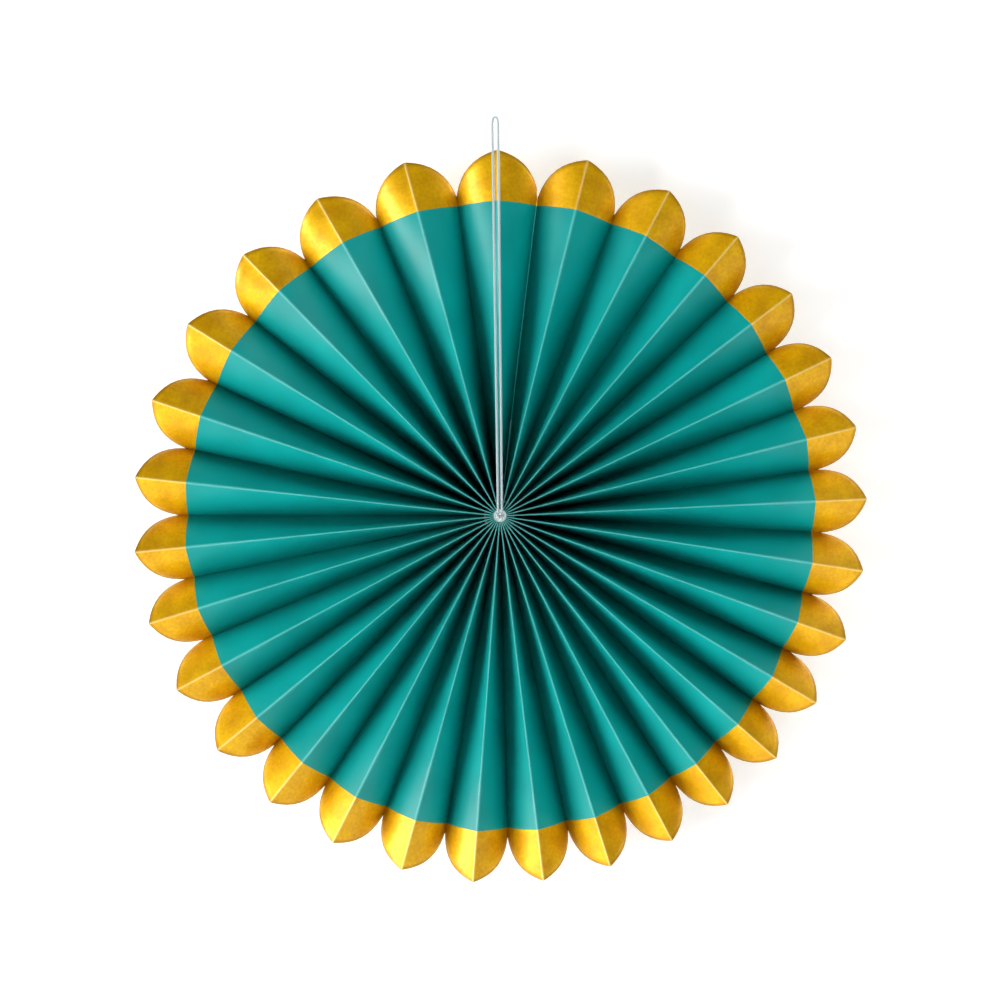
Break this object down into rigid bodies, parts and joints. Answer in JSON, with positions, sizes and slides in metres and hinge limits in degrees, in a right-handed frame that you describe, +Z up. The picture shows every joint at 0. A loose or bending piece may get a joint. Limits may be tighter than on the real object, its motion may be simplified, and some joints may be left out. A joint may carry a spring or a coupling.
{
  "type": "paper fan rosette",
  "caption": "Hanging paper fan rosette: a round wheel of sharp radial pleats with a pointed petal edge, gathered in the middle by a string whose loop hangs it on a hook.",
  "frame": {"origin": "middle of the wheel, halfway through its depth", "axes": "upright as it hangs: +Z up along the hanging loop, front of the wheel towards -Y, +X to the right seen from the front"},
  "size_m": [0.2293, 0.0182, 0.2397],
  "materials": {
    "printed_paper": "matte teal print with a gold foil petal edge, and a pale paper core at the cut edges",
    "tape": "thin double-sided adhesive tape",
    "string": "white twisted string"
  },
  "bodies": {
    "root": {"pleated_paper": "printed_paper", "seam_tape": "tape", "gathering_string": "string", "loop_knot": "string", "hanging_loop": "string"}
  },
  "joints": []
}
